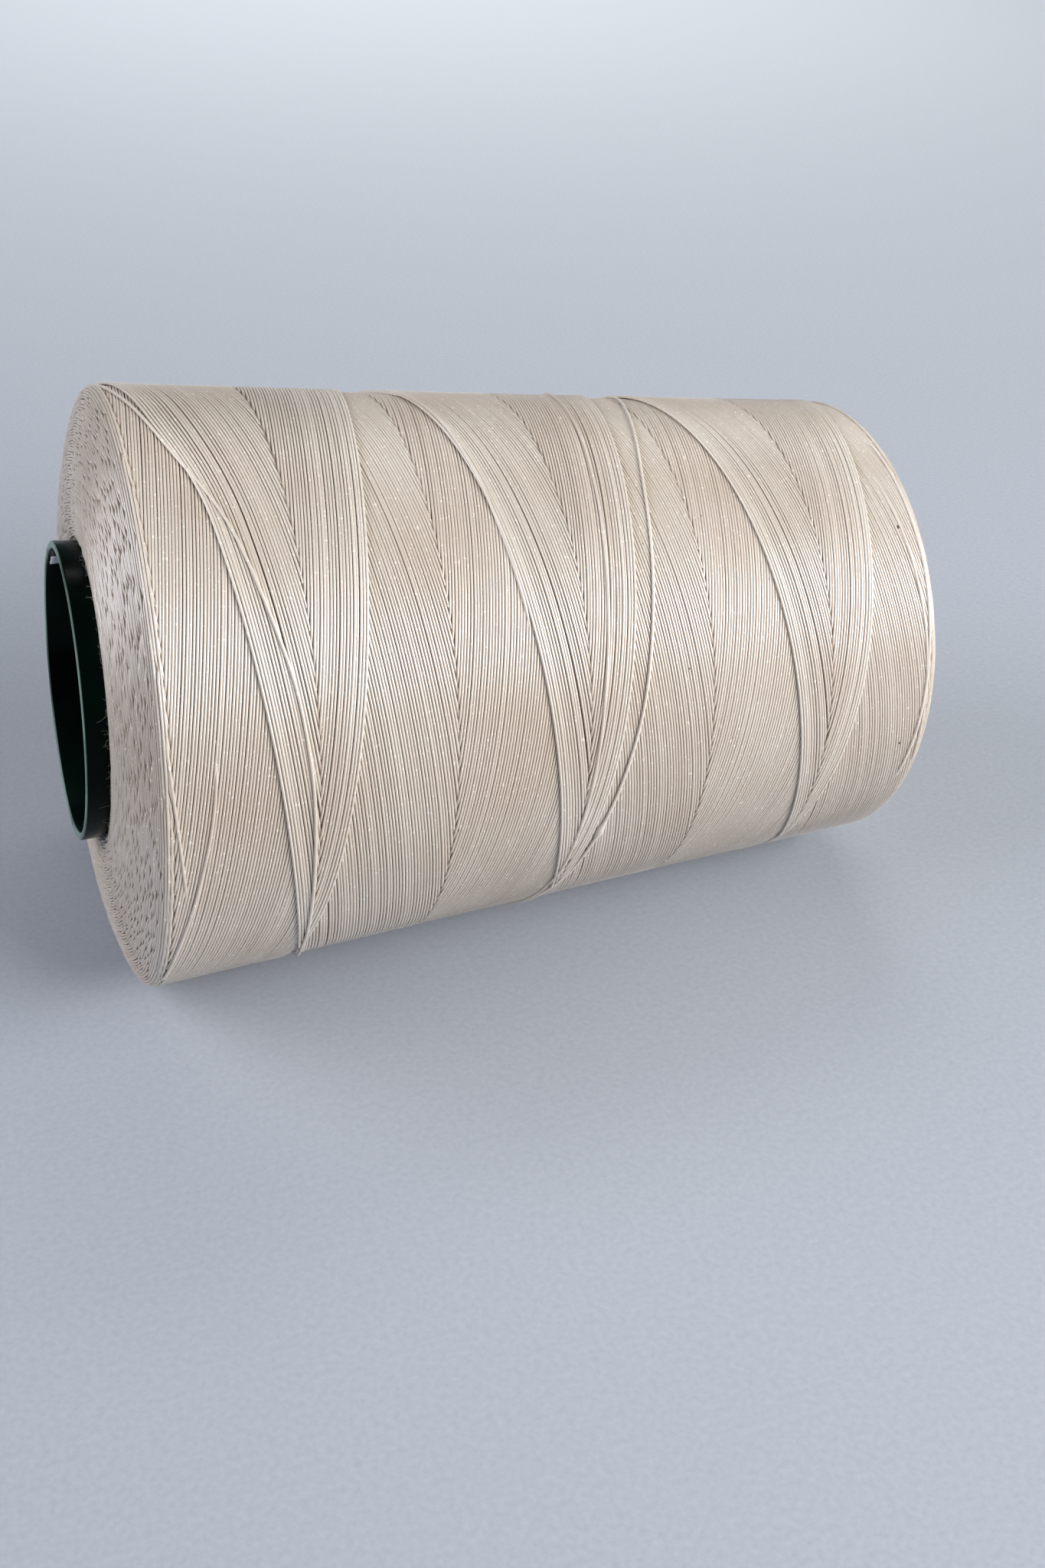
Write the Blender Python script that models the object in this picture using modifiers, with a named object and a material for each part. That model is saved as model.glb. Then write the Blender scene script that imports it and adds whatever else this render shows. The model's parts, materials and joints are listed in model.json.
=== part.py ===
"""Cone of waxed thread, lying on its side: a tapered plastic core, cross-wound with thread.

Metres, +Z up. The cone rests on the floor at Z = 0 along the line where its winding is pressed flat.
Its axis runs towards +X, from the wide base end to the nose, and dips by the taper's half angle,
so that the underside lies level. The origin is under the middle of the whole length.
"""

import math

import bmesh
import bpy
from mathutils import Matrix

# Taper, shared by the core and by the winding that is laid parallel to it: 4 degrees 20 minutes.
HALF_ANGLE = math.radians(4 + 20 / 60)

# Core. Radii are outside radii, and lengths are along the axis.
CORE_LENGTH = 0.170
CORE_BASE_RADIUS = 0.0285
CORE_WALL = 0.0015
CORE_RIM_ROUND = 0.0004

# Winding. Its length is taken between the two outer edges.
WINDING_LENGTH = 0.153
WINDING_DEPTH = 0.0297
WINDING_WAIST = 0.00025
WINDING_EDGE_ROUND = 0.0018
CORE_PAST_BASE_EDGE = 0.0089
BASE_FACE_RISE = 0.0046
BASE_FACE_BULGE = 0.0021
NOSE_FACE_RISE = 0.0004
NOSE_FACE_BULGE = 0.0018

# The weight of the cone presses the thread flat where it lies on the floor.
PRESSED_DEPTH = 0.00045

# Paper label, stuck to the wall of the bore just inside the base rim. Its turn is from the top towards +Y.
LABEL_LENGTH = 0.022
LABEL_WIDTH = 0.0038
LABEL_THICKNESS = 0.0002
LABEL_INSET = 0.0007
LABEL_TURN = math.radians(46.5)

# Between pieces that touch.
CLEARANCE = 0.0003

TURNED_STEPS = 96
SIDE_STEPS = 6
FACE_STEPS = 8
ROUND_STEPS = 4
LABEL_STEPS = 4

SLOPE = math.tan(HALF_ANGLE)
WINDING_BASE_RADIUS = CORE_BASE_RADIUS + WINDING_DEPTH - CORE_PAST_BASE_EDGE * SLOPE


def clear_scene():
    for obj in list(bpy.data.objects):
        bpy.data.objects.remove(obj, do_unlink=True)


def new_collection(name, hidden):
    collection = bpy.data.collections.new(name)
    collection.hide_render = hidden
    bpy.context.scene.collection.children.link(collection)
    return collection


def new_material(name, color, roughness):
    material = bpy.data.materials.new(name)
    material.use_nodes = True
    shader = material.node_tree.nodes["Principled BSDF"]
    shader.inputs["Base Color"].default_value = (*color, 1)
    shader.inputs["Roughness"].default_value = roughness
    shader.inputs["Metallic"].default_value = 0
    return material


def core_radius(along):
    """Outside radius of the core, at a distance along the axis from the winding's base edge."""
    return CORE_BASE_RADIUS - (along + CORE_PAST_BASE_EDGE) * SLOPE


def winding_radius(along):
    """Outside radius of the winding. It is drawn in a little between its two ends."""
    share = along / WINDING_LENGTH
    return WINDING_BASE_RADIUS - along * SLOPE - WINDING_WAIST * 4 * share * (1 - share)


def rounded_corner(before, corner, after, radius):
    """Points of the arc that rounds a corner of a profile between two straight legs."""
    legs = []
    for end in (before, after):
        length = math.dist(corner, end)
        legs.append(((end[0] - corner[0]) / length, (end[1] - corner[1]) / length))
    half = math.acos(legs[0][0] * legs[1][0] + legs[0][1] * legs[1][1]) / 2
    middle = (legs[0][0] + legs[1][0], legs[0][1] + legs[1][1])
    reach = radius / math.sin(half) / math.hypot(*middle)
    centre = (corner[0] + middle[0] * reach, corner[1] + middle[1] * reach)
    inset = radius / math.tan(half)
    first, last = ((corner[0] + leg[0] * inset, corner[1] + leg[1] * inset) for leg in legs)
    start = math.atan2(first[1] - centre[1], first[0] - centre[0])
    sweep = math.atan2(last[1] - centre[1], last[0] - centre[0]) - start
    sweep = (sweep + math.pi) % (2 * math.pi) - math.pi
    angles = [start + sweep * step / ROUND_STEPS for step in range(ROUND_STEPS + 1)]
    return [(centre[0] + radius * math.cos(a), centre[1] + radius * math.sin(a)) for a in angles]


def turned_object(name, profile, closed, angle, collection, material):
    """Turns a profile of (radius, along) points about Z. The outer side runs from nose to base."""
    mesh = bpy.data.meshes.new(name)
    form = bmesh.new()
    points = [form.verts.new((radius, 0, along)) for radius, along in profile]
    for start, end in zip(points, points[1:]):
        form.edges.new((start, end))
    if closed:
        form.edges.new((points[-1], points[0]))
    form.to_mesh(mesh)
    form.free()
    obj = bpy.data.objects.new(name, mesh)
    collection.objects.link(obj)
    mesh.materials.append(material)
    screw = obj.modifiers.new("turn", "SCREW")
    screw.axis = "Z"
    screw.angle = angle
    screw.steps = TURNED_STEPS if angle == 2 * math.pi else LABEL_STEPS
    screw.render_steps = screw.steps
    screw.use_merge_vertices = True
    screw.merge_threshold = 0.00001
    screw.use_smooth_shade = True
    return obj


def lay_down(obj, turn=0):
    """Lays a piece that was turned about Z on its side, with its axis where the cone's axis runs."""
    core_nose_radius = CORE_BASE_RADIUS - CORE_LENGTH * SLOPE
    middle = CORE_LENGTH / 2 - CORE_PAST_BASE_EDGE
    lean = (core_nose_radius - CORE_BASE_RADIUS) / 2
    base_x = -middle * math.cos(HALF_ANGLE) - lean * math.sin(HALF_ANGLE)
    base_z = WINDING_BASE_RADIUS * math.cos(HALF_ANGLE) - PRESSED_DEPTH
    tip_over = Matrix.Rotation(math.pi / 2 + HALF_ANGLE, 4, "Y")
    obj.matrix_world = Matrix.Translation((base_x, 0, base_z)) @ tip_over @ Matrix.Rotation(turn, 4, "Z")


def make_core(collection):
    """Tapered tube of one wall thickness, with its rims rounded."""
    wall = CORE_WALL / math.cos(HALF_ANGLE)
    base = -CORE_PAST_BASE_EDGE
    nose = base + CORE_LENGTH
    corners = [
        (core_radius(nose), nose),
        (core_radius(base), base),
        (core_radius(base) - wall, base),
        (core_radius(nose) - wall, nose),
    ]
    profile = []
    for index, corner in enumerate(corners):
        after = corners[(index + 1) % len(corners)]
        profile += rounded_corner(corners[index - 1], corner, after, CORE_RIM_ROUND)
    plastic = new_material("core_plastic", (0.006, 0.022, 0.018), 0.3)
    core = turned_object("cone_core", profile, True, 2 * math.pi, collection, plastic)
    lay_down(core)


def end_face(outer, inner, rise, bulge, outward):
    """Points across an end of the winding, from its outer edge in to the core."""
    points = []
    for step in range(FACE_STEPS + 1):
        share = step / FACE_STEPS
        lift = rise * share + bulge * 4 * share * (1 - share)
        points.append((outer[0] + (inner - outer[0]) * share, outer[1] + outward * lift))
    return points


def make_winding(collection, cutters):
    """Thread wound on the core in a thick tapered ring, bulging at its ends and pressed flat below."""
    gap = CLEARANCE / math.cos(HALF_ANGLE)
    base_edge = (winding_radius(0), 0)
    nose_edge = (winding_radius(WINDING_LENGTH), WINDING_LENGTH)
    base_face = end_face(base_edge, core_radius(-BASE_FACE_RISE) + gap, BASE_FACE_RISE, BASE_FACE_BULGE, -1)
    nose_bore = core_radius(WINDING_LENGTH + NOSE_FACE_RISE) + gap
    nose_face = end_face(nose_edge, nose_bore, NOSE_FACE_RISE, NOSE_FACE_BULGE, 1)
    side = []
    for step in range(1, SIDE_STEPS):
        along = WINDING_LENGTH * (1 - step / SIDE_STEPS)
        side.append((winding_radius(along), along))
    profile = rounded_corner(nose_face[1], nose_edge, side[0], WINDING_EDGE_ROUND)
    profile += side
    profile += rounded_corner(side[-1], base_edge, base_face[1], WINDING_EDGE_ROUND)
    profile += base_face[1:]
    profile += nose_face[:0:-1]
    thread = new_material("waxed_thread", (0.72, 0.62, 0.49), 0.55)
    winding = turned_object("thread_winding", profile, True, 2 * math.pi, collection, thread)
    lay_down(winding)
    press = winding.modifiers.new("pressed_flat", "BOOLEAN")
    press.operation = "DIFFERENCE"
    press.object = floor_block(cutters)


def floor_block(cutters):
    """Solid under the floor's level, which takes away what the winding would sink into it."""
    mesh = bpy.data.meshes.new("floor_block")
    form = bmesh.new()
    bmesh.ops.create_cube(form, size=1)
    size = (2 * CORE_LENGTH, 4 * WINDING_BASE_RADIUS, WINDING_BASE_RADIUS)
    bmesh.ops.scale(form, vec=size, verts=form.verts)
    bmesh.ops.translate(form, vec=(0, 0, -WINDING_BASE_RADIUS / 2), verts=form.verts)
    form.to_mesh(mesh)
    form.free()
    block = bpy.data.objects.new("floor_block", mesh)
    cutters.objects.link(block)
    block.hide_render = True
    block.display_type = "WIRE"
    return block


def make_label(collection):
    """Narrow paper label along the wall of the bore."""
    wall = (CORE_WALL + CLEARANCE) / math.cos(HALF_ANGLE)
    start = LABEL_INSET - CORE_PAST_BASE_EDGE
    end = start + LABEL_LENGTH
    profile = [(core_radius(end) - wall, end), (core_radius(start) - wall, start)]
    paper = new_material("label_paper", (0.62, 0.63, 0.65), 0.7)
    angle = LABEL_WIDTH / profile[1][0]
    label = turned_object("inside_label", profile, False, angle, collection, paper)
    thicken = label.modifiers.new("paper", "SOLIDIFY")
    thicken.thickness = LABEL_THICKNESS
    thicken.offset = -1
    lay_down(label, math.pi - LABEL_TURN - angle / 2)


clear_scene()
parts = new_collection("waxed_thread_cone", False)
helpers = new_collection("cutters", True)
make_core(parts)
make_winding(parts, helpers)
make_label(parts)
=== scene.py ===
"""A cone of waxed sewing thread, lying on its side on a pale table."""

import json
import math

import bmesh
import bpy
import numpy as np
from mathutils import Matrix, Vector


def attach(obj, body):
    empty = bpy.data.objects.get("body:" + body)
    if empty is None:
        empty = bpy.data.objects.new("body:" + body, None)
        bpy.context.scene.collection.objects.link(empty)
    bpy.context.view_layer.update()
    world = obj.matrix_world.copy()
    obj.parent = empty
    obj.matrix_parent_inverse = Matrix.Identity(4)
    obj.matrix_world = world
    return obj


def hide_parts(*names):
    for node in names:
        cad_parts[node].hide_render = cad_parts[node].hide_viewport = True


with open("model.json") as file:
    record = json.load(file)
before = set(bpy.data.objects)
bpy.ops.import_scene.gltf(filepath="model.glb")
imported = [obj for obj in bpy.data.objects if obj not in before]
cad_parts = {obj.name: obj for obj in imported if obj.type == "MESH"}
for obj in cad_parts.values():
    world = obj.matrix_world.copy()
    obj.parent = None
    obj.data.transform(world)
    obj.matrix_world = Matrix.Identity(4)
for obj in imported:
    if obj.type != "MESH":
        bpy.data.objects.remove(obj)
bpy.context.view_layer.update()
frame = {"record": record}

# ---------------------------------------------------------------------------------------------
# Core. A tapered tube, injection moulded in very dark green polypropylene and left glossy. Its
# two rims say where the axis runs, and everything else on the cone is placed along that axis.
# ---------------------------------------------------------------------------------------------
mounts = {mount["name"]: mount for mount in frame["record"]["mounts"]}
core_wall = 0.0015
core_rim_round = 0.0005
core_past_edge = 0.0089  # how far the base rim stands out past the winding's outer edge
base_rim = Vector(mounts["base_rim"]["pos_m"])
nose_rim = Vector(mounts["nose_rim"]["pos_m"])
base_centre = Vector((base_rim.x, 0, base_rim.z))
nose_centre = Vector((nose_rim.x, 0, nose_rim.z))
axis = (nose_centre - base_centre).normalized()
core_length = (nose_centre - base_centre).length
taper = (abs(base_rim.y) - abs(nose_rim.y)) / core_length
half_angle = math.atan(taper)
wall_across = core_wall / math.cos(half_angle)
core_base_radius = abs(base_rim.y) + core_wall / 2

# The cone's own frame: Z along its axis from the winding's base edge, X up, and Y to the front.
cone_frame = Matrix.Identity(4)
for column, direction in enumerate((Vector((-axis.z, 0, axis.x)), Vector((0, -1, 0)), axis)):
    cone_frame.col[column] = (*direction, 0)
cone_frame.translation = base_centre + axis * core_past_edge
ROUND = 2 * math.pi


def core_radius(along):
    """Outside radius of the core at a distance along the axis from the winding's base edge."""
    return core_base_radius - (along + core_past_edge) * taper


def linear(hex_colour):
    """The linear RGBA colour of an sRGB hex value."""
    parts = [int(hex_colour[start : start + 2], 16) / 255 for start in (1, 3, 5)]
    return [part / 12.92 if part <= 0.04045 else ((part + 0.055) / 1.055) ** 2.4 for part in parts] + [1]


def add(tree, kind, links=None, values=None, **settings):
    """Adds a node with its settings, its input values and the links into it."""
    new = tree.nodes.new(kind)
    for name, value in settings.items():
        setattr(new, name, value)
    for name, value in (values or {}).items():
        new.inputs[name].default_value = value
    for name, (source, output) in (links or {}).items():
        tree.links.new(source.outputs[output], new.inputs[name])
    return new


def empty_material(name):
    """A new material without nodes, and its node tree."""
    material = bpy.data.materials.new(name)
    material.use_nodes = True
    material.node_tree.nodes.clear()
    return material, material.node_tree


def show(tree, shader):
    """Makes a shader the material's surface."""
    add(tree, "ShaderNodeOutputMaterial", {"Surface": (shader, "BSDF")})


def add_piece(name, mesh, material, slot, *stands_for):
    """Puts a finished mesh, in the cone's frame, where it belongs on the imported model."""
    piece = bpy.data.objects.new(name, mesh)
    bpy.context.scene.collection.objects.link(piece)
    mesh.transform(cone_frame)
    mesh.materials.clear()
    mesh.materials.append(material)
    mesh.polygons.foreach_set("use_smooth", [True] * len(mesh.polygons))
    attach(piece, "root")
    if stands_for:
        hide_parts(*stands_for)
    return piece


def turned_mesh(name, profile, steps):
    """Spins a closed profile of (radius, along) points once round the cone's axis."""
    form = bmesh.new()
    points = [form.verts.new((radius, 0, along)) for radius, along in profile]
    edges = [form.edges.new(pair) for pair in zip(points, points[1:] + points[:1])]
    bmesh.ops.spin(
        form, geom=points + edges, cent=(0, 0, 0), axis=(0, 0, 1), dvec=(0, 0, 0),
        angle=ROUND, steps=steps, use_merge=True, use_duplicate=False,
    )
    bmesh.ops.recalc_face_normals(form, faces=form.faces)
    mesh = bpy.data.meshes.new(name)
    form.to_mesh(mesh)
    form.free()
    return mesh


def arc(centre, radius, start, end, steps):
    """Points on an arc of a profile. Angles are in degrees, from outward towards the nose."""
    angles = np.radians(np.linspace(start, end, steps + 1))
    return [(centre[0] + radius * math.cos(a), centre[1] + radius * math.sin(a)) for a in angles]


def core_profile():
    """The wall of the tube, with all four corners of its rims rounded alike."""
    base, nose = -core_past_edge, core_length - core_past_edge
    edge = core_rim_round
    profile = []
    profile += arc((core_radius(nose) - edge, nose - edge), edge, 0, 90, 4)
    profile += arc((core_radius(nose) - wall_across + edge, nose - edge), edge, 90, 180, 4)
    for share in (0.75, 0.5, 0.25):
        along = base + (nose - base) * share
        profile.append((core_radius(along) - wall_across, along))
    profile += arc((core_radius(base) - wall_across + edge, base + edge), edge, 180, 270, 4)
    profile += arc((core_radius(base) - edge, base + edge), edge, 270, 360, 4)
    return profile


def moulded_polypropylene():
    """Near-black green, softly glossy: a fine grain breaks the light, and handling dulls it in patches."""
    material, tree = empty_material("moulded_polypropylene")
    place = add(tree, "ShaderNodeTexCoord")
    cloud = add(tree, "ShaderNodeTexNoise", {"Vector": (place, "Object")}, {"Scale": 60, "Detail": 4})
    colour = add(tree, "ShaderNodeValToRGB", {"Fac": (cloud, "Fac")})
    colour.color_ramp.elements[0].position = 0.3
    colour.color_ramp.elements[0].color = linear("#010604")
    colour.color_ramp.elements[1].position = 0.75
    colour.color_ramp.elements[1].color = linear("#041912")
    # The rims are rubbed paler, more in some places than in others, by the pegs they were pushed on to, and
    # the pale colour is also a painted highlight along their crests.
    rim_wear_and_highlight = add(tree, "ShaderNodeAttribute", attribute_name="rim_wear_and_highlight")
    patch = add(
        tree, "ShaderNodeMapRange", {"Value": (cloud, "Fac")},
        {"From Min": 0.35, "From Max": 0.6, "To Min": 0.25, "To Max": 1},
    )
    worn_and_highlit = add(tree, "ShaderNodeMath", {0: (rim_wear_and_highlight, "Fac"), 1: (patch, "Result")}, operation="MULTIPLY")
    rubbed_and_highlit = add(tree, "ShaderNodeMix", {"Factor": (worn_and_highlit, "Value")}, data_type="RGBA", blend_type="MIX")
    tree.links.new(colour.outputs["Color"], rubbed_and_highlit.inputs[6])
    rubbed_and_highlit.inputs[7].default_value = linear("#7C9489")
    dull = add(
        tree, "ShaderNodeMapRange", {"Value": (cloud, "Fac")},
        {"From Min": 0.3, "From Max": 0.7, "To Min": 0.2, "To Max": 0.34},
    )
    grain = add(tree, "ShaderNodeTexNoise", {"Vector": (place, "Object")}, {"Scale": 900, "Detail": 2})
    bump = add(tree, "ShaderNodeBump", {"Height": (grain, "Fac")}, {"Strength": 0.08, "Distance": 0.0001})
    shader = add(
        tree, "ShaderNodeBsdfPrincipled",
        {"Base Color": (rubbed_and_highlit, 2), "Roughness": (dull, "Result"), "Normal": (bump, "Normal")},
        {"IOR": 1.49, "Specular IOR Level": 0.05},
    )
    show(tree, shader)
    return material


polypropylene = moulded_polypropylene()
turned_steps = 192
core_mesh = turned_mesh("core_tube", core_profile(), turned_steps)
# The mask for wear and the painted rim highlight is 1 on the crests of the two rims and 0 everywhere else.
from_middle = [abs(vert.co.z + core_past_edge - core_length / 2) for vert in core_mesh.vertices]
rim_crest_from = core_length / 2 - core_rim_round * 0.6
rim_wear_and_highlight = core_mesh.attributes.new("rim_wear_and_highlight", "FLOAT", "POINT")
rim_wear_and_highlight.data.foreach_set("value", [float(far > rim_crest_from) for far in from_middle])
add_piece("core_tube", core_mesh, polypropylene, "core_plastic", "cone_core")

# ---------------------------------------------------------------------------------------------
# Label. A narrow strip of plain paper, stuck lengthwise to the wall of the bore just inside the
# base rim. It is a little creased, and its free end lifts off the plastic.
# ---------------------------------------------------------------------------------------------
label_length = 0.022
label_width = 0.0038
label_thickness = 0.00015
label_inset = 0.0007
label_glue = 0.00025  # between the paper and the wall
label_crease = 0.0002
label_lift = 0.0005  # of its free end
label_lifted_share = 0.15
label_turn = math.radians(-46.5)  # from the top, to the back of the bore


def label_mesh():
    """A grid bent to the wall of the bore, then given the paper's thickness."""
    form = bmesh.new()
    bmesh.ops.create_grid(form, x_segments=24, y_segments=8, size=0.5)
    for vert in form.verts:
        share = vert.co.x + 0.5
        along = label_inset - core_past_edge + share * label_length
        crease = label_crease * math.cos(vert.co.y * 9)
        curl = label_lift * max(0, label_lifted_share - share) / label_lifted_share
        radius = core_radius(along) - wall_across - label_glue - crease - curl
        angle = label_turn + vert.co.y * label_width / radius
        vert.co = (radius * math.cos(angle), radius * math.sin(angle), along)
    bmesh.ops.recalc_face_normals(form, faces=form.faces)
    bmesh.ops.solidify(form, geom=form.faces, thickness=label_thickness)
    bmesh.ops.recalc_face_normals(form, faces=form.faces)
    mesh = bpy.data.meshes.new("label_strip")
    form.to_mesh(mesh)
    form.free()
    return mesh


def uncoated_paper():
    """Cool off-white with a faint fibre, and quite matt."""
    material, tree = empty_material("uncoated_paper")
    place = add(tree, "ShaderNodeTexCoord")
    fibre = add(tree, "ShaderNodeTexNoise", {"Vector": (place, "Object")}, {"Scale": 2500, "Detail": 5})
    colour = add(tree, "ShaderNodeValToRGB", {"Fac": (fibre, "Fac")})
    colour.color_ramp.elements[0].color = linear("#D9DDE2")
    colour.color_ramp.elements[1].color = linear("#F6F8FA")
    bump = add(tree, "ShaderNodeBump", {"Height": (fibre, "Fac")}, {"Strength": 0.3, "Distance": 0.00005})
    shader = add(
        tree, "ShaderNodeBsdfPrincipled", {"Base Color": (colour, "Color"), "Normal": (bump, "Normal")},
        {"Roughness": 0.75},
    )
    show(tree, shader)
    return material


add_piece("label_strip", label_mesh(), uncoated_paper(), "label_paper", "inside_label")

# ---------------------------------------------------------------------------------------------
# Thread, as laid. Natural cotton, spun, plied and drawn through wax, about 0.6 mm thick. Crossing
# turns, three to a stroke, each beside the one laid a stroke before. So each hand of turns ends
# in a newest one with a step down beyond it, and between two steps the other hand lies on top.
# ---------------------------------------------------------------------------------------------
winding_length = 0.153
winding_base_radius = 0.0575256
winding_waist = 0.00025
winding_edge_round = 0.0018
thread_radius = 0.000258
layer_rise = 0.0005  # one layer of waxed thread, pressed a little into the layer under it
advance = 0.051  # along the axis, for each turn
beside = 87  # turns of one hand, side by side, in that advance
pitch = advance / beside
newest_to_nose = -61.4 / 360 * beside  # where the newest turn of each hand leaves the base edge
newest_to_base = -45.8 / 360 * beside
both_newest = newest_to_nose + newest_to_base
beyond_edge = 0.0025 / pitch
turn_back_length = 0.0012
pressed_to = 0.00015  # the flat's height above the table
ply_spacing = 0.0008
ply_slant = 0.0007
chance = np.random.default_rng(29)


def winding_radius(along):
    """Radius of the winding's side. It is drawn in a little between its two ends."""
    share = along / winding_length
    return winding_base_radius - along * taper - winding_waist * 4 * share * (1 - share)


def turn_back(along):
    """A turn slows down as it nears either edge, where the thread guide turns it back."""
    along = (along + np.hypot(along, turn_back_length)) / 2
    left = winding_length - along
    return winding_length - (left + np.hypot(left, turn_back_length)) / 2


def on_winding(along, angle, height):
    """Points in the cone's frame on the side of the winding, which rounds off at its edges."""
    to_edge = np.minimum(along, winding_length - along)
    short = np.clip(winding_edge_round - to_edge, 0, winding_edge_round)
    fall = winding_edge_round - np.sqrt(winding_edge_round**2 - short**2)
    radius = winding_radius(along) - fall + height
    return np.stack([radius * np.cos(angle), radius * np.sin(angle), along], axis=-1)


def smooth_step(share):
    """Eases from 0 to 1 with no corner at either end."""
    share = np.clip(share, 0, 1)
    return share * share * (3 - 2 * share)


def press_flat(mesh):
    """The cone's weight presses the thread flat where it meets the table."""
    place = np.empty(len(mesh.vertices) * 3, np.float32)
    mesh.vertices.foreach_get("co", place)
    place = place.reshape(-1, 3)
    height = place[:, 2]
    place[:, 2] = np.where(height < pressed_to, pressed_to + (height - pressed_to) * 0.05, height)
    mesh.vertices.foreach_set("co", place.ravel())
    mesh.update()


def waxed_cotton(name, dark, middle, light, roughness, gloss):
    """Ecru yarn under thin wax: a soft sheen along each turn, fine slanting plies, and pale neps."""
    material, tree = empty_material(name)
    place = add(tree, "ShaderNodeTexCoord")
    tint = add(tree, "ShaderNodeAttribute", attribute_name="tint")
    twist = add(tree, "ShaderNodeAttribute", attribute_name="twist")
    # The ramp's dark end is painted shade: tints fall towards it only where runs duck under, where arc ends
    # tuck in, and in the gaps under the side.
    yarn = add(tree, "ShaderNodeValToRGB", {"Fac": (tint, "Fac")})
    yarn.color_ramp.elements[0].color = linear(dark)
    yarn.color_ramp.elements[1].color = linear(light)
    yarn.color_ramp.elements.new(0.45).color = linear(middle)
    # Dye lots and handling: clouds about 25 mm across.
    cloud = add(tree, "ShaderNodeTexNoise", {"Vector": (place, "Object")}, {"Scale": 40, "Detail": 3})
    soil = add(tree, "ShaderNodeValToRGB", {"Fac": (cloud, "Fac")})
    soil.color_ramp.elements[0].position = 0.3
    soil.color_ramp.elements[0].color = linear("#F2EBE3")
    soil.color_ramp.elements[1].position = 0.7
    soil.color_ramp.elements[1].color = linear("#FFFFFF")
    toned = add(tree, "ShaderNodeMix", values={"Factor": 1}, data_type="RGBA", blend_type="MULTIPLY")
    tree.links.new(yarn.outputs["Color"], toned.inputs[6])
    tree.links.new(soil.outputs["Color"], toned.inputs[7])
    # Plies: one slanting ridge for each ply spacing along the thread, with the groove between painted up to
    # 5% darker as painted shade.
    turned = add(tree, "ShaderNodeMath", {0: (twist, "Fac")}, {1: ROUND}, operation="MULTIPLY")
    wave = add(tree, "ShaderNodeMath", {0: (turned, "Value")}, operation="SINE")
    ply_groove_shade = add(
        tree, "ShaderNodeMapRange", {"Value": (wave, "Value")},
        {"From Min": -1, "From Max": -0.2, "To Min": 0.95, "To Max": 1},
    )
    plied = add(tree, "ShaderNodeMix", values={"Factor": 1}, data_type="RGBA", blend_type="MULTIPLY")
    tree.links.new(toned.outputs[2], plied.inputs[6])
    tree.links.new(ply_groove_shade.outputs["Result"], plied.inputs[7])
    # Neps: specks of pale matted fibre, about half a millimetre across.
    speck = add(tree, "ShaderNodeTexNoise", {"Vector": (place, "Object")}, {"Scale": 1500, "Detail": 1})
    nep = add(
        tree, "ShaderNodeMapRange", {"Value": (speck, "Fac")},
        {"From Min": 0.67, "From Max": 0.73, "To Min": 0, "To Max": 0.7},
    )
    flecked = add(tree, "ShaderNodeMix", {"Factor": (nep, "Result")}, data_type="RGBA", blend_type="MIX")
    tree.links.new(plied.outputs[2], flecked.inputs[6])
    flecked.inputs[7].default_value = linear("#F7F0E4")
    # Fibres: fine fuzz in the wax, drawn a little coarser than life so that it shows.
    fibre = add(tree, "ShaderNodeTexNoise", {"Vector": (place, "Object")}, {"Scale": 4500, "Detail": 3})
    relief = add(
        tree, "ShaderNodeMath", {0: (fibre, "Fac"), 2: (wave, "Value")}, {1: 3}, operation="MULTIPLY_ADD",
    )
    bump = add(
        tree, "ShaderNodeBump", {"Height": (relief, "Value")}, {"Strength": 0.12, "Distance": 0.000015},
    )
    shader = add(
        tree, "ShaderNodeBsdfPrincipled", {"Base Color": (flecked, 2), "Normal": (bump, "Normal")},
        {
            "Roughness": roughness, "IOR": 1.9, "Specular IOR Level": gloss,
            "Sheen Weight": 0.15, "Sheen Roughness": 0.4,
        },
    )
    show(tree, shader)
    return material


def mark_thread(mesh, tint, twist):
    """Keeps with each point how pale its thread is, painted shade included, and where its plies stand."""
    for name, values in (("tint", tint), ("twist", twist)):
        kept = mesh.attributes.new(name, "FLOAT", "POINT")
        kept.data.foreach_set("value", np.asarray(values, np.float32))


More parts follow.
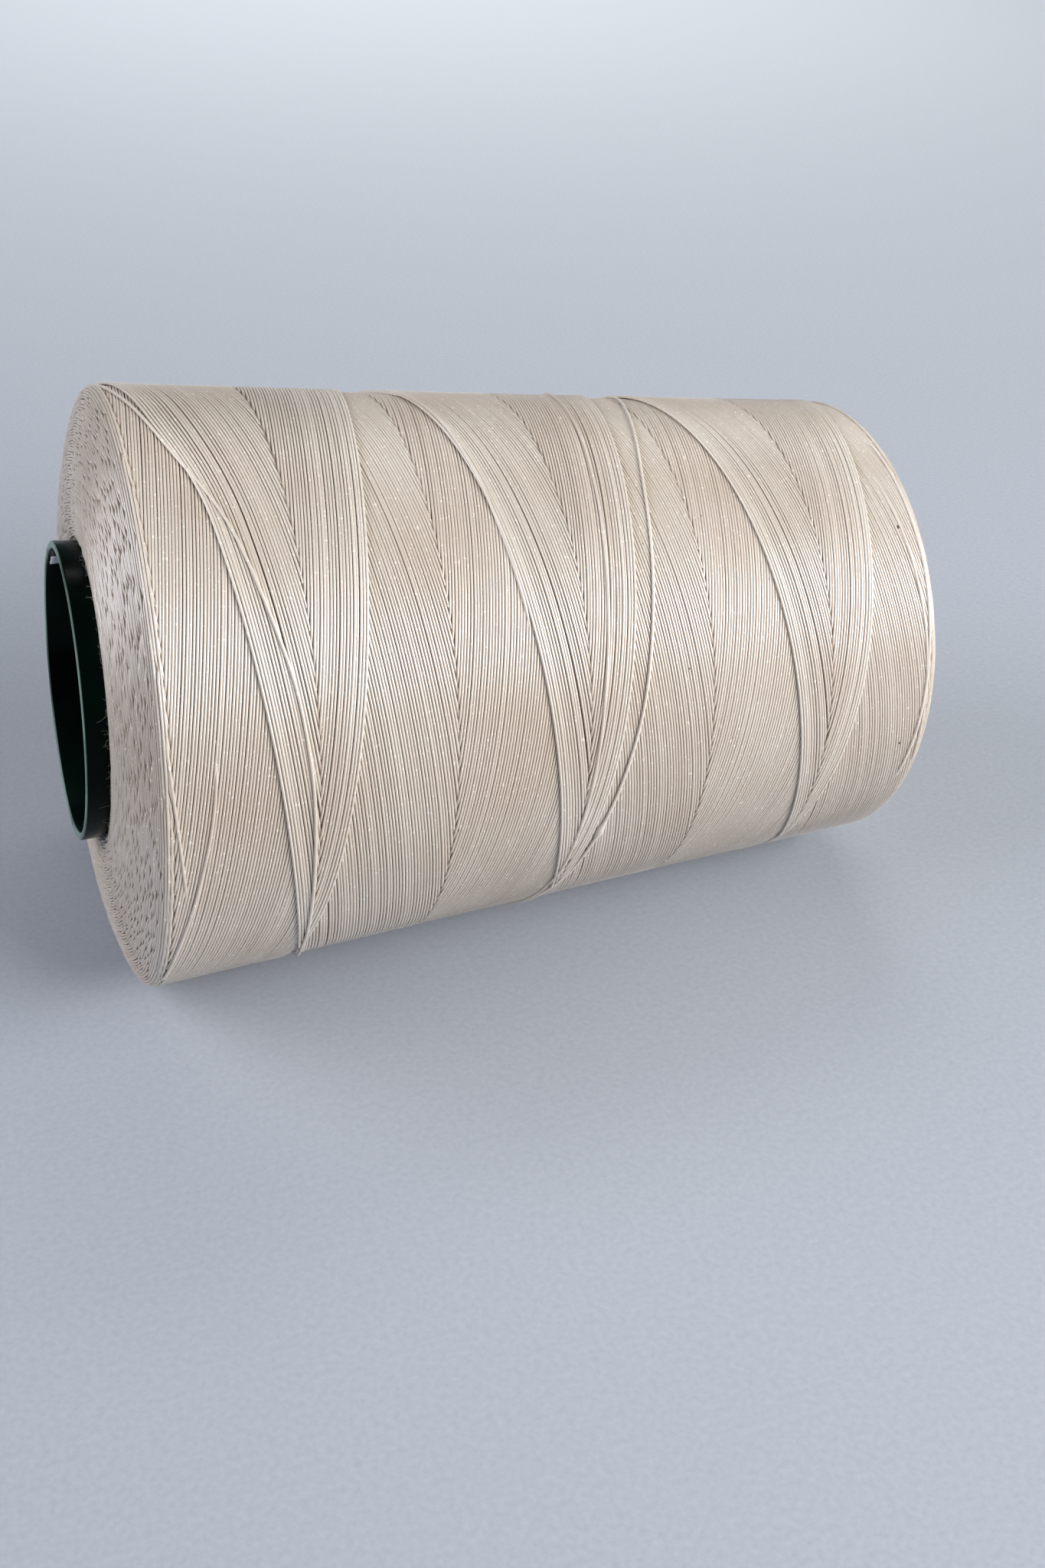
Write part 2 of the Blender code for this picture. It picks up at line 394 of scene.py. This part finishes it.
def thread_mesh(name, runs, radius):
    """One mesh of many runs of thread. A run is its points, how thick each is, and its tint."""
    curve = bpy.data.curves.new(name, "CURVE")
    curve.dimensions = "3D"
    curve.bevel_depth = radius
    curve.bevel_resolution = 1
    curve.use_fill_caps = True
    sides = 6  # which a bevel resolution of 1 gives
    tubes, caps = [], []
    for points, thickness, tint in runs:
        count = len(points)
        spline = curve.splines.new("POLY")
        spline.points.add(count - 1)
        spline.points.foreach_set("co", np.c_[points, np.ones(count)].ravel())
        spline.points.foreach_set("radius", np.broadcast_to(thickness, count).astype(float))
        steps = np.linalg.norm(np.diff(points, axis=0), axis=1)
        lay = np.concatenate([[0], np.cumsum(steps)]) / ply_spacing + chance.random()
        marks = np.stack([np.broadcast_to(tint, count), lay, points[:, 2]], axis=1)
        tubes.append(np.repeat(marks, sides, axis=0))
        caps.append(np.repeat(marks[[-1, 0]], sides, axis=0))
    swept = bpy.data.objects.new(name, curve)
    bpy.context.scene.collection.objects.link(swept)
    graph = bpy.context.evaluated_depsgraph_get()
    mesh = bpy.data.meshes.new_from_object(swept.evaluated_get(graph))
    bpy.data.objects.remove(swept)
    mesh.name = name
    # The end caps come first, from the last run back to the first, and then the tubes in order.
    tint, lay, middle = np.concatenate(caps[::-1] + tubes).T
    place = np.empty(len(mesh.vertices) * 3, np.float32)
    mesh.vertices.foreach_get("co", place)
    mark_thread(mesh, tint, lay + (place[2::3] - middle) / ply_slant)
    # The caps are joined to their tubes, which closes every run.
    form = bmesh.new()
    form.from_mesh(mesh)
    bmesh.ops.remove_doubles(form, verts=form.verts, dist=0.0000005)
    form.to_mesh(mesh)
    form.free()
    return mesh


def add_thread(name, runs, material, radius=thread_radius):
    """Adds runs of thread as one piece, pressed flat where they meet the table."""
    piece = add_piece(name, thread_mesh(name, runs, radius), material, "waxed_thread")
    press_flat(piece.data)
    return piece


def visible_turns(to_nose):
    """Runs of one hand wherever it lies on top, each ducking under the other hand at its end.

    A turn's age is how many turns of its hand were laid after it. Its run is counted in crossings
    of the other hand, as many in each turn round the cone as there are turns side by side.
    """
    newest = newest_to_nose if to_nose else newest_to_base
    leads = 1.5 if to_nose else 0.5
    for age in range(beside):
        # The newest turns stand a little proud, and they are the palest and the least even.
        fresh = math.exp(-age / 4)
        shift = chance.normal(0, 0.04) + chance.normal(0, 0.05) * (age < 14)
        sway = 0.03 + 0.05 * math.exp(-age / 8)
        waves = [
            (chance.uniform(1, 4), chance.uniform(0, ROUND)),
            (chance.uniform(5, 11), chance.uniform(0, ROUND)),
        ]
        thick = 1 + chance.normal(0, 0.035)
        tint = chance.normal(0.68, 0.04) + 0.25 * fresh
        first = newest - age - (0 if to_nose else 3 * beside) - beyond_edge
        last = first + 3 * beside + 2 * beyond_edge
        for crossing in range(-12, 12):
            # From just before it comes out from under one newer band to just inside the next.
            start = (both_newest - age - beside * (crossing + 1)) / 2 - 1.5
            end = (both_newest - 2 * age - beside * crossing) / 2 + 1.0
            start, end = max(start, first), min(end, last)
            if end - start < 1.5:
                continue
            ducks_from = max(end - 2, start)
            steps = math.ceil((ducks_from - start) / 0.72) + 1
            level = np.linspace(start, ducks_from, steps)[:-1]
            turn = np.append(level, np.linspace(ducks_from, end, 9))
            angle = turn / beside * ROUND
            other_age = both_newest - age - 2 * turn - beside * crossing
            # The newest turns to the nose were pulled back towards the base on their first lap.
            pulled = 4.4 * math.exp(-age / 12) * smooth_step((22.5 - turn + newest) / 7) * to_nose
            wander = sway * sum(np.sin(angle * rate + phase) / rate**0.5 for rate, phase in waves)
            count = (turn - newest + age) * (1 if to_nose else -1)
            along = turn_back((count - pulled + shift + wander) * pitch)
            on_top = smooth_step((other_age - age + leads) / 2)
            height = -thread_radius + layer_rise * (1 - (age + other_age) / beside)
            height = height - layer_rise * (1 - on_top) + 0.00012 * fresh
            at_end = smooth_step(np.minimum(turn - first, last - turn) / 1.6)
            height = height - 0.0007 * (1 - at_end)
            # Where a run ducks under the other hand its tint drops towards the dark end: painted shade, a
            # dark dash at each dive.
            yield on_winding(along, angle, height), thick, np.clip(tint - (1 - on_top) ** 0.7, 0, 1)


# Its dark colour is painted shade, for where runs duck under and arc ends tuck in.
thread_finish = waxed_cotton("waxed_cotton_thread", "#766555", "#BFB0A0", "#DAD2C7", 0.38, 1.0)
halfway = winding_length * 0.47
for hand, to_nose in (("to_nose", True), ("to_base", False)):
    laid = list(visible_turns(to_nose))
    for part, wanted in (("base_half", True), ("nose_half", False)):
        runs = [run for run in laid if (run[0][:, 2].mean() < halfway) == wanted]
        add_thread(f"turns_{hand}_{part}", runs, thread_finish)

# ---------------------------------------------------------------------------------------------
# Thread, underneath. The mass of older turns, coloured darker than the outer turns: painted brown shade in
# the gaps.
# It is one turned shape, from the core out to just below the outer turns.
# ---------------------------------------------------------------------------------------------
ends = {
    "base": {"edge": 0.0, "out": -1, "rise": 0.0046, "bulge": 0.0021},
    "nose": {"edge": winding_length, "out": 1, "rise": 0.0004, "bulge": 0.0018},
}
core_gap = 0.0003
under_depth = 0.0009  # below the side's mean surface, which lets the newest turns dip and still show
under_face_depth = 0.0005


def on_face(end, share, depth=0.0):
    """(radius, along) on an end of the winding, from its outer edge in to the core."""
    outer = winding_radius(end["edge"])
    inner = core_radius(end["edge"] + end["out"] * end["rise"]) + core_gap
    lift = end["rise"] * share + end["bulge"] * 4 * share * (1 - share) - depth
    return outer + (inner - outer) * share, end["edge"] + end["out"] * lift


def round_edge(end, start, depth, steps):
    """(radius, along) round an outer edge of the winding, from its side on to its end face."""
    inward = end["edge"] - end["out"] * winding_edge_round
    side = np.array([winding_radius(inward), inward])
    corner = np.array([winding_radius(end["edge"]), end["edge"]])
    face = np.array(on_face(end, 0.06))
    share = np.linspace(start, 1, steps)[:, None]
    curve = side * (1 - share) ** 2 + 2 * corner * share * (1 - share) + face * share**2
    slope = 2 * (corner - side) * (1 - share) + 2 * (face - corner) * share
    slope /= np.linalg.norm(slope, axis=1)[:, None]
    outward = np.stack([slope[:, 1], -slope[:, 0]], axis=1) * end["out"]
    return curve - outward * depth


def under_profile():
    """Along the side, round the nose edge, in to the core, and back out round the base edge."""
    profile = []
    for share in np.linspace(0.02, 0.98, 9):
        along = winding_length * share
        profile.append((winding_radius(along) - under_depth, along))
    profile += [tuple(point) for point in round_edge(ends["nose"], 0.1, under_depth, 6)]
    for name, shares in (("nose", np.linspace(0.12, 1, 9)), ("base", np.linspace(1, 0.12, 9))):
        profile += [on_face(ends[name], share, under_face_depth) for share in shares]
    profile += [tuple(point) for point in round_edge(ends["base"], 0.1, under_depth, 6)[::-1]]
    return profile


under_mesh = turned_mesh("inner_turns", under_profile(), turned_steps)
gap_shade_finish = waxed_cotton("waxed_cotton_painted_gap_shade", "#6E5B48", "#8A7763", "#B9AC9E", 0.7, 0.3)
# Painted shade: darkest below the side, where the gaps are deep, and pale on the end faces.
on_side = [winding_radius(vert.co.z) - vert.co.xy.length < 0.0016 for vert in under_mesh.vertices]
mark_thread(under_mesh, np.where(on_side, 0.2, 1.0), chance.random(len(on_side)))
under = add_piece("inner_turns", under_mesh, gap_shade_finish, "waxed_thread", "thread_winding")
press_flat(under.data)

# ---------------------------------------------------------------------------------------------
# Thread, at the ends. Where the guide turns it back, each stroke leaves a short arc on the end
# face and ducks in again, so the face is ring on ring of arcs with small slits between them.
# ---------------------------------------------------------------------------------------------
ring_pitch = 0.00053
edge_rings = 5  # the outermost rings, whose arcs run on for longer
tuck_length = 0.0022
tuck_depth = 0.00026
arc_overlap = 0.0009


def face_rings(end):
    """(radius, along) of each ring of arcs, evenly spaced round the edge and across the face."""
    path = list(round_edge(end, 0.25, 0.0003, 10))
    path += [np.array(on_face(end, share, 0.00024)) for share in np.linspace(0.07, 0.985, 60)]
    path = np.array(path)
    reach = np.concatenate([[0], np.cumsum(np.linalg.norm(np.diff(path, axis=0), axis=1))])
    spots = np.arange(0, reach[-1], ring_pitch)
    return np.stack([np.interp(spots, reach, path[:, 0]), np.interp(spots, reach, path[:, 1])], axis=1)


def face_arcs(end):
    """Arcs end to end round each ring. Each wavers, and both its ends thin out and dip, with painted shade
    darkening them.
    """
    for index, (radius, along) in enumerate(face_rings(end)):
        angle = chance.uniform(0, ROUND)
        stop = angle + ROUND
        while angle < stop:
            length = chance.uniform(0.03, 0.06) if index < edge_rings else chance.uniform(0.006, 0.014)
            sweep = length / radius
            tucked = tuck_length / length
            middle = np.linspace(tucked, 1 - tucked, max(2, round(length / 0.0024)))
            spots = np.concatenate([[0, tucked / 2], middle, [1 - tucked / 2, 1]])
            shown = smooth_step(np.minimum(spots, 1 - spots) / tucked)
            waver = 0.00004 * np.sin(spots * length / 0.0017 + chance.uniform(0, ROUND))
            lean = chance.normal(0, 0.00005) * (spots - 0.5) * 2
            ring = radius + waver + lean + chance.normal(0, 0.00003)
            inward = along - end["out"] * (tuck_depth * (1 - shown) + chance.uniform(0, 0.00008))
            turned = angle + spots * sweep
            points = np.stack([ring * np.cos(turned), ring * np.sin(turned), inward], axis=-1)
            thick = (1 + chance.normal(0, 0.04)) * (0.72 + 0.28 * shown)
            # The tucked ends are painted darker, a painted shade in the slits.
            yield points, thick, np.clip(chance.normal(0.66, 0.06) - 0.3 * (1 - shown), 0, 1)
            angle += sweep - arc_overlap / radius


for name, end in ends.items():
    add_thread(f"turned_back_arcs_{name}", list(face_arcs(end)), thread_finish)

# ---------------------------------------------------------------------------------------------
# Thread, loose turns. A few turns slackened and slid out of line when the cone was handled. They
# lie proud of the rest, some run together low on the front, and one has a slub in it.
# ---------------------------------------------------------------------------------------------


def surface_height(along, angle):
    """How far above the winding's mean surface the topmost thread's centre is."""
    turn = angle / ROUND * beside
    age_to_nose = (along / pitch - turn + newest_to_nose) % beside
    age_to_base = (-along / pitch - turn + newest_to_base) % beside
    return -thread_radius + layer_rise * (1 - (age_to_nose + age_to_base) / beside)


def eased(values, reach):
    """A moving average, which keeps the two end values."""
    padded = np.concatenate([np.full(reach, values[0]), values, np.full(reach, values[-1])])
    return np.convolve(padded, np.full(2 * reach + 1, 1 / (2 * reach + 1)), "valid")


def loose_turn(stations, proud, tint, slub_at=None):
    """A run laid over the rest through stations of (degrees from the top, mm from the base edge).

    The stations are rounded and listed, no more of them than the run's bends need.
    """
    degrees, alongs = np.array(stations, float).T
    spots = np.arange(degrees[0], degrees[-1] + 0.5, 1.0)
    along = eased(eased(np.interp(spots, degrees, alongs) / 1000, 5), 3)
    angle = np.radians(spots)
    height = eased(surface_height(along, angle), 4) + proud
    to_end = np.minimum(spots - spots[0], spots[-1] - spots)
    # Both ends dive in among the other turns.
    height = height - (proud + 0.0006) * (1 - smooth_step(to_end / 9))
    thick = 1.2 + 0.04 * np.sin(spots / 7)
    if slub_at is not None:
        slub_reach = 1.5  # degrees
        thick = thick + 1.9 * np.exp(-(((spots - slub_at) / slub_reach) ** 2))
    return on_winding(turn_back(along), angle, height), thick, tint


loose_turns = [
    loose_turn(
        [(-30, -3), (15, 8.5), (33, 16), (63, 23.5), (80, 25.5), (125, 27), (158, 31)],
        proud=0.0005, tint=0.85),
    loose_turn([(-40, 50), (-10, 58.5), (5, 61), (60, 67.5)], proud=0.0004, tint=0.8),
    loose_turn(
        [(-50, 98), (-15, 90.5), (20, 86.5), (70, 80.5), (105, 77.5), (128, 76), (150, 73)],
        proud=0.00035, tint=0.75),
    loose_turn(
        [(-48, 111), (-15, 105), (25, 96), (75, 88.5), (130, 77), (156, 72)],
        proud=0.0005, tint=0.95, slub_at=104),
    loose_turn([(70, 9.5), (85, 8), (115, 2.5), (135, 0.5)], proud=0.0003, tint=0.7),
    loose_turn([(62, 0), (76, 1), (104, 4)], proud=0.0002, tint=0.6),
    loose_turn([(8, 150.5), (25, 151.5), (50, 152), (90, 150.5), (112, 149)], proud=0.0003, tint=0.9),
    loose_turn([(20, 146.5), (45, 149), (65, 150.5), (108, 152)], proud=0.00022, tint=0.75),
]
add_thread("loose_turns", loose_turns, thread_finish)

# ---------------------------------------------------------------------------------------------
# Fuzz. Fibre ends worked out of the yarn. They are thickest where the end face meets the core,
# and a few stand off the side of the winding.
# ---------------------------------------------------------------------------------------------


def fibre_end(start, angle, swerve, lift, slant, length):
    """A fine wandering fibre from its root, headed partly round the cone, partly out and along it."""
    around = np.array([-math.sin(angle), math.cos(angle), 0])
    outward = np.array([math.cos(angle), math.sin(angle), 0])
    heading = around * swerve + outward * lift + np.array([0, 0, slant])
    spots = np.linspace(0, 1, 7)[:, None]
    bend = chance.normal(0, 1, 3)
    curl = chance.normal(0, 1, 3)
    swing = spots**2 * bend * 0.5 + np.sin(spots * chance.uniform(3, 8)) * curl * 0.18
    return start + (heading * spots + swing) * length, 1 - 0.6 * spots[:, 0], chance.uniform(0.5, 1)


def fuzz():
    """Fibres at the foot of the base face, and then fewer all over the side that is not underneath."""
    for _ in range(300):
        share = 1 - abs(chance.normal(0, 0.03))
        angle = chance.uniform(0, ROUND)
        radius, along = on_face(ends["base"], share, 0.0004)
        root = np.array([radius * math.cos(angle), radius * math.sin(angle), along])
        swerve, lift = chance.normal(0, 0.7), chance.normal(0.1, 0.25)
        yield fibre_end(root, angle, swerve, lift, -0.5, chance.uniform(0.0006, 0.0015))
    for _ in range(260):
        angle = chance.uniform(-1.9, 2.2)
        along = chance.uniform(0.002, winding_length - 0.002)
        root = on_winding(np.array(along), np.array(angle), -0.0002)
        swerve, lift, slant = chance.normal(0, 0.8), chance.uniform(0.1, 0.6), chance.normal(0, 0.3)
        yield fibre_end(root, angle, swerve, lift, slant, chance.uniform(0.0006, 0.002))


# The fibres are drawn about twice as thick as life, so that they show.
fuzz_radius = 0.000017
fuzz_finish = waxed_cotton("cotton_fibre_ends", "#CFC2B0", "#DDD2C3", "#F2EBE0", 0.6, 0.4)
add_thread("fibre_fuzz", list(fuzz()), fuzz_finish, radius=fuzz_radius)

# ---------------------------------------------------------------------------------------------
# Seed specks. Crumbs of brown cotton seed coat that were spun in with the fibre and stay caught
# in the outer turns.
# ---------------------------------------------------------------------------------------------


def cotton_seed_coat():
    """Dark brown husk, dull, with a mottle about a tenth of a millimetre across."""
    material, tree = empty_material("cotton_seed_coat")
    place = add(tree, "ShaderNodeTexCoord")
    mottle = add(tree, "ShaderNodeTexNoise", {"Vector": (place, "Object")}, {"Scale": 9000, "Detail": 2})
    colour = add(tree, "ShaderNodeValToRGB", {"Fac": (mottle, "Fac")})
    colour.color_ramp.elements[0].color = linear("#2A1F18")
    colour.color_ramp.elements[1].color = linear("#6B5444")
    shader = add(
        tree, "ShaderNodeBsdfPrincipled", {"Base Color": (colour, "Color")}, {"Roughness": 0.7},
    )
    show(tree, shader)
    return material


def seed_specks():
    """Small crumpled crumbs, each flattened against the thread."""
    # Each one's degrees from the top, metres from the base edge and half its width in mm.
    largest = [
        (40, 0.148, 0.45), (95, 0.147, 0.35), (126, 0.002, 0.4),
        (68, 0.098, 0.22), (96, 0.053, 0.26), (102, 0.052, 0.22),
    ]
    strewn = [
        (chance.uniform(-110, 110), chance.uniform(0.004, 0.149), chance.uniform(0.1, 0.2))
        for _ in range(16)
    ]
    form = bmesh.new()
    for degrees, along, half_width in largest + strewn:
        angle = math.radians(degrees)
        height = surface_height(along, angle) + thread_radius * 0.7
        spot = Vector(on_winding(np.array(along), np.array(angle), height))
        outward = Vector((math.cos(angle), math.sin(angle), 0))
        lie = outward.to_track_quat("Z", "Y").to_matrix().to_4x4()
        lumps = bmesh.ops.create_icosphere(form, subdivisions=2, radius=half_width / 1000)["verts"]
        for vert in lumps:
            vert.co *= chance.uniform(0.8, 1.15)
        bmesh.ops.scale(form, vec=(1, chance.uniform(0.5, 0.8), 0.35), verts=lumps)
        bmesh.ops.transform(form, matrix=Matrix.Translation(spot) @ lie, verts=lumps)
    mesh = bpy.data.meshes.new("seed_specks")
    form.to_mesh(mesh)
    form.free()
    return mesh


add_piece("seed_specks", seed_specks(), cotton_seed_coat(), "waxed_thread")

# ---------------------------------------------------------------------------------------------
# Table, camera and light. A pale matt board under soft daylight: most of it from the front and
# right, some back from the left, and some on the far part of the board.
# ---------------------------------------------------------------------------------------------


def matt_board():
    """Pale blue-grey board: a very fine tooth breaks up the light, and there is no gloss to speak of."""
    material, tree = empty_material("matt_board")
    place = add(tree, "ShaderNodeTexCoord")
    tooth = add(tree, "ShaderNodeTexNoise", {"Vector": (place, "Object")}, {"Scale": 900, "Detail": 4})
    colour = add(tree, "ShaderNodeValToRGB", {"Fac": (tooth, "Fac")})
    colour.color_ramp.elements[0].position = 0.25
    colour.color_ramp.elements[0].color = linear("#999EA7")
    colour.color_ramp.elements[1].position = 0.75
    colour.color_ramp.elements[1].color = linear("#A4A9B1")
    bump = add(tree, "ShaderNodeBump", {"Height": (tooth, "Fac")}, {"Strength": 0.25, "Distance": 0.0001})
    shader = add(
        tree, "ShaderNodeBsdfPrincipled", {"Base Color": (colour, "Color"), "Normal": (bump, "Normal")},
        {"Roughness": 0.6},
    )
    show(tree, shader)
    return material


table_form = bmesh.new()
bmesh.ops.create_grid(table_form, x_segments=4, y_segments=4, size=6)
table_mesh = bpy.data.meshes.new("table")
table_form.to_mesh(table_mesh)
table_form.free()
table = bpy.data.objects.new("table", table_mesh)
bpy.context.scene.collection.objects.link(table)
table_mesh.materials.append(matt_board())

camera_view = Vector((0.27514789, 0.81813993, -0.50491652))
camera_data = bpy.data.cameras.new("camera")
camera_data.lens = 41.151
camera_data.sensor_width = 36
camera_data.shift_x = 0.0383
camera_data.shift_y = -0.0945
camera_data.clip_start = 0.01
camera_data.clip_end = 50
camera = bpy.data.objects.new("camera", camera_data)
camera.location = (-0.10445860, -0.29731013, 0.23821247)
camera.rotation_euler = camera_view.to_track_quat("-Z", "Y").to_euler()
bpy.context.scene.collection.objects.link(camera)
bpy.context.scene.camera = camera


def soft_light(name, place, target, size, power, colour, spread=math.pi):
    """A soft rectangular light at a place, turned to face its target."""
    data = bpy.data.lights.new(name, "AREA")
    data.shape = "RECTANGLE"
    data.size, data.size_y = size
    data.energy = power
    data.spread = spread
    data.color = linear(colour)[:3]
    light = bpy.data.objects.new(name, data)
    light.location = place
    light.rotation_euler = (Vector(target) - Vector(place)).to_track_quat("-Z", "Y").to_euler()
    bpy.context.scene.collection.objects.link(light)


soft_light("daylight", (0.72, -0.50, 0.47), (0.02, 0, 0.05), (0.5, 0.5), 7.2, "#FFFFFF")
soft_light("front_window", (0.50, -0.90, 0.56), (0.03, 0, 0.05), (0.45, 0.45), 11.0, "#FFFFFF")
soft_light("left_bounce", (-1.2, 0.20, 0.85), (-0.25, 0.1, 0.0), (1.3, 1.0), 18, "#F2F3FA")
soft_light("back_of_table", (0.35, 1.15, 1.3), (0.3, 1.1, 0), (1.2, 0.8), 10.5, "#FFFDF8", math.radians(85))
world = bpy.data.worlds.new("daylight_room")
bpy.context.scene.world = world
world.use_nodes = True
world.node_tree.nodes["Background"].inputs["Color"].default_value = linear("#C4D0E2")
world.node_tree.nodes["Background"].inputs["Strength"].default_value = 0.18
bpy.context.scene.view_settings.view_transform = "Standard"
